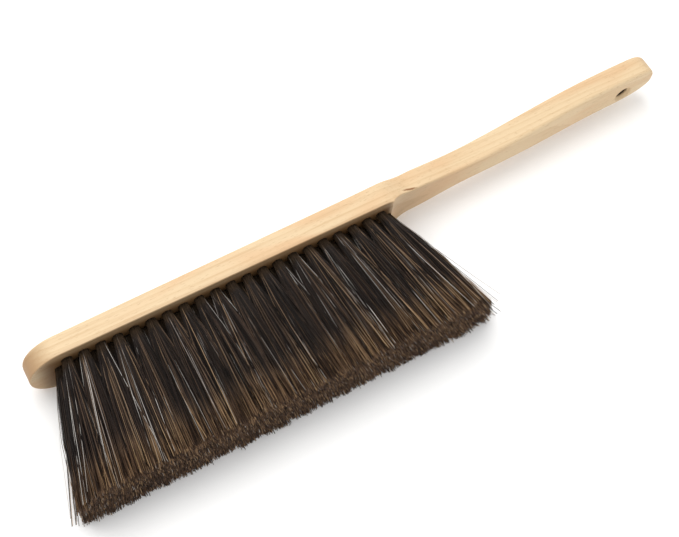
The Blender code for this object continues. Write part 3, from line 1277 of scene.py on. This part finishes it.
@dataclass
class Tufts:
    """The bristles of every tuft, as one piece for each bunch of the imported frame.

    A tuft's bristles hang together in locks. A few are wild and lie straight across the others, and a few at
    both ends of the rows stray outwards. wild_aim is for X and Z. thickness and stray_tone are a least value
    and what a draw adds. slimmer_above is a tone and what is taken off above it. fill_blend is the even and
    the eased share, and map_rows is where the map starts and how tall it is.
    """

    pattern: TuftPattern
    per_tuft: int = 430
    per_bunch: int = 2
    locks: int = 11
    lock_spread: float = 0.55
    lock_pull: float = 0.20
    lock_shift: float = 0.0006
    lock_cut: float = 0.0005
    root_radius: float = 0.00017
    tip_radius: float = 0.00016
    taper_from: float = 0.35
    taper_power: float = 1.5
    thickness: tuple[float, float] = (0.85, 0.3)
    slimmer_above: tuple[tuple[float, float], ...] = ((0.68, 0.22), (0.94, 0.08))
    levels: tuple[float, ...] = (0.0, 0.10, 0.28, 0.52, 0.78, 1.0)
    level_reach: float = 1e-4
    in_hole: float = 0.004
    fill_blend: tuple[float, float] = (0.65, 0.35)
    mixing: float = 1.16
    bow: float = 0.0006
    bristle_shift: float = 0.0006
    shift_power: float = 1.35
    cut_jitter: float = 0.0005
    cut_short: float = 0.0014
    wild_share: float = 0.07
    pale_from: float = 0.89
    pale_wild_share: float = 0.5
    wild_reach: float = 0.0034
    wild_aim: tuple[float, float] = (1.0, 0.35)
    rise: float = 0.0010
    stray_share: float = 0.014
    stray_reach: float = 0.0055
    stray_lift: float = 0.3
    stray_pale_share: float = 0.8
    stray_tone: tuple[float, float] = (0.96, 0.04)
    off_table: float = 0.0001
    map_columns: int = 64
    map_reach: float = 0.42
    map_turn: float = 0.4
    map_rows: tuple[float, float] = (0.004, 0.992)
    row_seed: int = 1000
    tones: Tones = field(default_factory=Tones)
    finish: BristleFinish = field(default_factory=BristleFinish)

    def model(self) -> Pattern:
        """Model one straight bristle along Z, of length and radius 1: a three-sided stick, cut at each level.

        Returns:
            The bristle.
        """
        select_only(None)
        bpy.ops.mesh.primitive_cylinder_add(vertices=3, radius=1.0, depth=1.0, location=(0.0, 0.0, 0.5))
        bristle = take_new("bristle")
        settle(bristle)
        bpy.ops.object.mode_set(mode="EDIT")
        for level in self.levels[1:-1]:
            saw((0.0, 0.0, level), (0.0, 0.0, 1.0))
        bpy.ops.object.mode_set(mode="OBJECT")
        return Pattern.of(bristle)

    def layer(self, row: int) -> Layer:
        """Say which side of the bunch a row shows."""
        return {0: Layer.TOP, len(self.pattern.letters) - 1: Layer.BOTTOM}.get(row, Layer.INNER)

    def fan(self, row: int, x: float, disc: np.ndarray, tip: np.ndarray) -> np.ndarray:
        """Lead the bristles from their round hole out to the tuft's share of the trimmed end.

        Args:
            row: The tuft's row, from the top.
            x: Where its hole is.
            disc: Where each bristle is in the hole, as a unit disc.
            tip: Where it is at the trimmed end, as a square from -1 to 1.

        Returns:
            X and Z of each bristle at every level.
        """
        p, t = self.pattern, np.array(self.levels)
        low_x, high_x = (x + side * p.pitch / 2 for side in (-1.0, 1.0))
        low = np.stack([low_x + t * p.lean(row, low_x), p.row_edge(row + 1, t)], 1)
        high = np.stack([high_x + t * p.lean(row, high_x), p.row_edge(row, t)], 1)
        centre, half = (low + high) / 2, (high - low) / 2 * self.mixing
        along = p.direction(row, x)
        line_x = x + t * p.bristle_length * along.x / -along.y
        line_z = p.row_height(row) + t * p.bristle_length * along.z / -along.y
        even, eased = self.fill_blend
        fill = np.clip(t * p.bristle_length / p.fill_length, 0.0, 1.0)
        fill = even * fill + eased * fill * fill * (3 - 2 * fill)
        root = disc * (p.hole_diameter / 2 - p.fit_gap / 2 - self.root_radius)
        bundle = np.stack([line_x, line_z], 1)[None] + root[:, None]
        cell = centre[None] + tip[:, None] * half[None]
        return bundle + (cell - bundle) * fill[None, :, None]

    def loosen(self, row: int, x: float, lock: np.ndarray, rng: np.random.Generator) -> Arrays:
        """Draw what makes each bristle of a tuft differ from its neighbours.

        Args:
            row: The tuft's row, from the top.
            x: Where its hole is.
            lock: Which lock each bristle belongs to.
            rng: Draws the differences.

        Returns:
            How far each tip is moved along X and Z, its tone, and whether it is wild.
        """
        n = self.per_tuft
        shift = rng.normal(0.0, self.lock_shift, (self.locks, 2))[lock]
        shift += rng.normal(0.0, self.bristle_shift, (n, 2))
        tone = self.tones.draw(row, self.locks, lock, rng)
        wild = rng.random(n) < np.where(tone > self.pale_from, self.pale_wild_share, self.wild_share)
        shift += wild[:, None] * rng.normal(0.0, self.wild_reach, (n, 2)) * np.array(self.wild_aim)
        end = self.pattern.row_end(x)
        stray = rng.random(n) < self.stray_share * abs(end)
        pale = stray & (rng.random(n) < self.stray_pale_share)
        least, more = self.stray_tone
        tone = np.where(pale, least + more * rng.random(n), tone)
        aim = np.array([end, self.stray_lift])
        shift += stray[:, None] * aim * self.stray_reach * rng.random((n, 2))
        return shift, tone, wild

    def paths(self, row: int, x: float, rng: np.random.Generator) -> Arrays:
        """Lay the bristles of one tuft.

        Args:
            row: The tuft's row, from the top.
            x: Where its hole is.
            rng: Draws what differs from bristle to bristle.

        Returns:
            The points along each bristle, its radius at each of them, and its tone.
        """
        n, t = self.per_tuft, np.array(self.levels)
        spread = np.sqrt(rng.random(n))
        angle = rng.random(n) * 2 * math.pi
        disc = np.stack([spread * np.cos(angle), spread * np.sin(angle)], 1)
        lock_at = rng.normal(0.0, self.lock_spread, (self.locks, 2))
        lock = np.argmin(((disc[:, None] - lock_at[None]) ** 2).sum(2), 1)
        square = disc / np.maximum(np.abs(np.cos(angle)), np.abs(np.sin(angle)))[:, None]
        tip = square + (lock_at[lock] - square) * self.lock_pull * rng.random(n)[:, None] ** 0.5
        flat = self.fan(row, x, disc, tip)
        shift, tone, wild = self.loosen(row, x, lock, rng)
        flat += shift[:, None] * (t**self.shift_power)[None, :, None]
        bow = rng.normal(0.0, self.bow, (n, 2))
        flat += bow[:, None] * np.sin(math.pi * t)[None, :, None]
        straight = flat[:, :1] + (flat[:, -1:] - flat[:, :1]) * t[None, :, None]
        flat = np.where(wild[:, None, None], straight, flat)
        if self.layer(row) is Layer.TOP:
            flat[..., 1] += wild[:, None] * self.rise * np.sin(math.pi * t)[None]
        cut = rng.normal(0.0, self.cut_jitter, n) - np.abs(rng.normal(0.0, self.cut_short, n))
        cut += rng.normal(0.0, self.lock_cut, self.locks)[lock]
        y = -t[None] * (self.pattern.bristle_length + cut)[:, None]
        points = np.stack([flat[..., 0], y, flat[..., 1]], 2)
        inwards = points[:, 0] - points[:, 1]
        points[:, 0] += inwards / np.linalg.norm(inwards, axis=1)[:, None] * self.in_hole
        return points, self.radii(tone, t, rng), tone

    def radii(self, tone: np.ndarray, t: np.ndarray, rng: np.random.Generator) -> np.ndarray:
        """Draw how thick each bristle of a tuft is.

        Args:
            tone: The tone of each bristle. Pale ones are thinner.
            t: The levels.
            rng: Draws the thicknesses.

        Returns:
            The radius of each bristle at every level.
        """
        least, more = self.thickness
        slim = np.ones(len(tone))
        drawn = least + more * rng.random(len(tone))
        for above, less in self.slimmer_above:
            slim = slim - less * (tone > above)
        taper = np.clip((t - self.taper_from) / (1.0 - self.taper_from), 0.0, 1.0) ** self.taper_power
        radius = self.root_radius + (self.tip_radius - self.root_radius) * taper
        return (drawn * slim)[:, None] * radius[None]

    def piece(
        self, name: str, model: Pattern, tufts: Sequence[tuple[int, float]], seed: int
    ) -> bpy.types.Object:
        """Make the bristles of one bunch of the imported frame.

        Args:
            name: The piece's name.
            model: The straight bristle.
            tufts: Row and x of its tufts.
            seed: Starts the draws.

        Returns:
            The piece.
        """
        rng = np.random.default_rng(seed)
        laid = (self.paths(row, x, rng) for row, x in tufts)
        points, radii, tones = (np.concatenate(part) for part in zip(*laid))
        points = points + np.array(self.pattern.datum.corner)
        points[..., 2] = np.maximum(points[..., 2], radii + self.off_table)
        level = np.searchsorted(np.array(self.levels), model.points[:, 2] - self.level_reach)
        level = np.clip(level, 0, len(self.levels) - 1)
        ahead = np.gradient(points, axis=1)
        ahead /= np.linalg.norm(ahead, axis=2, keepdims=True)
        side = np.cross(ahead, np.array([0.0, 0.0, 1.0]))
        side /= np.linalg.norm(side, axis=2, keepdims=True)
        up = np.cross(side, ahead)
        turn = rng.random(len(points)) * 2 * math.pi
        ring = model.points[:, 0] + 1j * model.points[:, 1]
        ring = ring[None, :] * np.exp(1j * turn)[:, None] * radii[:, level]
        made = points[:, level] + side[:, level] * ring.real[..., None] + up[:, level] * ring.imag[..., None]
        corners, sides = model.repeated(len(points))
        obj = mesh_from(name, made.reshape(-1, 3), corners, sides)
        self.lay_map(obj, model, tones)
        obj.data.shade_smooth()
        return obj

    def lay_map(self, obj: bpy.types.Object, model: Pattern, tones: np.ndarray) -> None:
        """Lay each bristle's map: its tone across, and root to tip up.

        Args:
            obj: The piece.
            model: The straight bristle.
            tones: The tone of each bristle.
        """
        column = np.minimum((tones * self.map_columns).astype(int), self.map_columns - 1)
        angle = np.arctan2(model.points[:, 1], model.points[:, 0])
        across = (0.5 + self.map_reach * np.cos(angle + self.map_turn))[model.corners] / self.map_columns
        lowest, tall = self.map_rows
        up = lowest + tall * model.points[model.corners, 2]
        u = column[:, None] / self.map_columns + across[None]
        v = np.broadcast_to(up[None], u.shape)
        layer = obj.data.uv_layers.new(name=self.finish.map_name)
        layer.data.foreach_set("uv", np.stack([u, v], 2).astype(np.float32).ravel())

    def build(self) -> list[bpy.types.Object]:
        """Make every bunch, and dress it.

        Returns:
            The bunches, row after row.
        """
        model = self.model()
        material = self.finish.material()
        made = []
        for row, letter in enumerate(self.pattern.letters):
            places = self.pattern.places(row)
            for number, first in enumerate(range(0, len(places), self.per_bunch), start=1):
                label = f"{letter}_{number:02d}"
                bunch = [(row, x) for x in places[first : first + self.per_bunch]]
                obj = self.piece(f"bristles_{label}", model, bunch, seed=self.row_seed * row + number)
                obj.data.materials.append(material)
                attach(obj, BODY)
                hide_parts(f"tufts_{label}")
                made.append(obj)
            log.info("row %s: %d tufts, %s side", letter, len(places), self.layer(row).value)
        return made


@dataclass
class Anchors:
    """The flat wire driven over the fold of each bunch, at the bottom of its hole."""

    pattern: TuftPattern
    length: float = 0.0050
    width: float = 0.0016
    thickness: float = 0.0004
    above_bottom: float = 0.0006
    finish: WireFinish = field(default_factory=WireFinish)

    def build(self) -> list[bpy.types.Object]:
        """Model one anchor and copy it to every hole.

        Returns:
            One piece for each row.
        """
        select_only(None)
        bpy.ops.mesh.primitive_cube_add(size=1.0, scale=(self.length, self.thickness, self.width))
        anchor = take_new("anchor")
        settle(anchor)
        apply_modifier(anchor, "BEVEL", width=self.thickness / 4, segments=1)
        model = Pattern.of(anchor)
        material = self.finish.material()
        depth = self.pattern.hole_depth - self.above_bottom
        made = []
        for row, letter in enumerate(self.pattern.letters):
            places = []
            for x in self.pattern.places(row):
                along = self.pattern.direction(row, x)
                root = Vector((x, 0.0, self.pattern.row_height(row)))
                places.append(aimed(self.pattern.datum.corner + root - along * depth, along))
            obj = model.copies(f"anchors_{letter}", places)
            obj.data.materials.append(material)
            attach(obj, BODY)
            made.append(obj)
        log.info("anchors: %d rows", len(made))
        return made


# --- the studio ---


@dataclass
class Studio:
    """A white table, soft light from above and the left, and the camera."""

    table_size: float = 40.0
    table_colour: Colour = (0.93, 0.93, 0.93)
    table_pale: Colour = (0.95, 0.95, 0.95)
    table_clouds: Cloud = Cloud((3.0, 3.0, 3.0), detail=1.0)
    table_roughness: float = 0.9
    table_specular: float = 0.1
    table_glow: float = 0.07
    sky_strength: float = 0.76
    key_power: float = 19.5
    key_size: float = 1.3
    key_colour: Colour = (1.0, 0.985, 0.96)
    key_place: Place = (-0.22, 0.62, 1.45)
    fill_power: float = 1.5
    fill_size: float = 1.6
    fill_colour: Colour = (0.93, 0.97, 1.0)
    fill_place: Place = (0.5, -1.1, 0.8)
    camera_place: Place = (-0.16787, -0.17461, 0.47409)
    camera_turn: Place = (26.6306, -4.2786, -29.4939)
    lens: float = 58.32
    sensor: float = 36.0
    clip_start: float = 0.01

    def build(self) -> None:
        """Set up the table, the lights and the camera."""
        self.table()
        self.sky()
        self.light("key_light", self.key_place, self.key_power, self.key_size, self.key_colour)
        self.light("fill_light", self.fill_place, self.fill_power, self.fill_size, self.fill_colour)
        self.camera()
        bpy.context.scene.view_settings.view_transform = "Standard"
        log.info("studio ready")

    def table(self) -> None:
        """Lay the white table top."""
        select_only(None)
        bpy.ops.mesh.primitive_plane_add(size=self.table_size)
        top = take_new("table_top")
        graph = Graph("white_table")
        clouds = graph.noise(graph.coordinates("Object"), self.table_clouds)
        material = graph.finish(
            {
                "Base Color": graph.mix(clouds, self.table_colour, self.table_pale),
                "Emission Color": WHITE,
                "Emission Strength": self.table_glow,
                "Roughness": self.table_roughness,
                "Specular IOR Level": self.table_specular,
            }
        )
        top.data.materials.append(material)

    def sky(self) -> None:
        """Light the scene evenly from all round."""
        world = bpy.data.worlds.new("studio_sky")
        world.use_nodes = True
        background = world.node_tree.nodes["Background"]
        background.inputs["Color"].default_value = (*WHITE, 1.0)
        background.inputs["Strength"].default_value = self.sky_strength
        bpy.context.scene.world = world

    def light(self, name: str, place: Place, power: float, size: float, colour: Colour) -> None:
        """Hang a square soft light that faces the brush.

        Args:
            name: Its name.
            place: Where it hangs.
            power: Its power, in watts.
            size: The length of its side.
            colour: Its colour.
        """
        data = bpy.data.lights.new(name, "AREA")
        data.energy = power
        data.size = size
        data.color = colour
        lamp = bpy.data.objects.new(name, data)
        lamp.location = place
        lamp.rotation_euler = (-Vector(place)).to_track_quat("-Z", "Y").to_euler()
        bpy.context.scene.collection.objects.link(lamp)

    def camera(self) -> None:
        """Set up the camera, above the bristle side of the nose."""
        data = bpy.data.cameras.new("camera")
        data.lens = self.lens
        data.sensor_width = self.sensor
        data.sensor_fit = "HORIZONTAL"
        data.clip_start = self.clip_start
        camera = bpy.data.objects.new("camera", data)
        camera.location = self.camera_place
        camera.rotation_euler = [math.radians(angle) for angle in self.camera_turn]
        bpy.context.scene.collection.objects.link(camera)
        bpy.context.scene.camera = camera


def main() -> None:
    """Build every piece."""
    logging.basicConfig(level=logging.INFO, format="%(name)s: %(message)s")
    datum = Datum.of_block()
    pattern = TuftPattern(datum)
    maker = Block(datum)
    block = maker.build(pattern)
    block.data.materials.append(WoodFinish().material(maker.knot(), maker.marks(pattern)))
    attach(block, BODY)
    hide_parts(BLOCK_NODE)
    log.info("block: %d faces", len(block.data.polygons))
    Anchors(pattern).build()
    bunches = Tufts(pattern).build()
    log.info("bristles: %d faces", sum(len(obj.data.polygons) for obj in bunches))
    Studio().build()


if __name__ == "__main__":
    main()
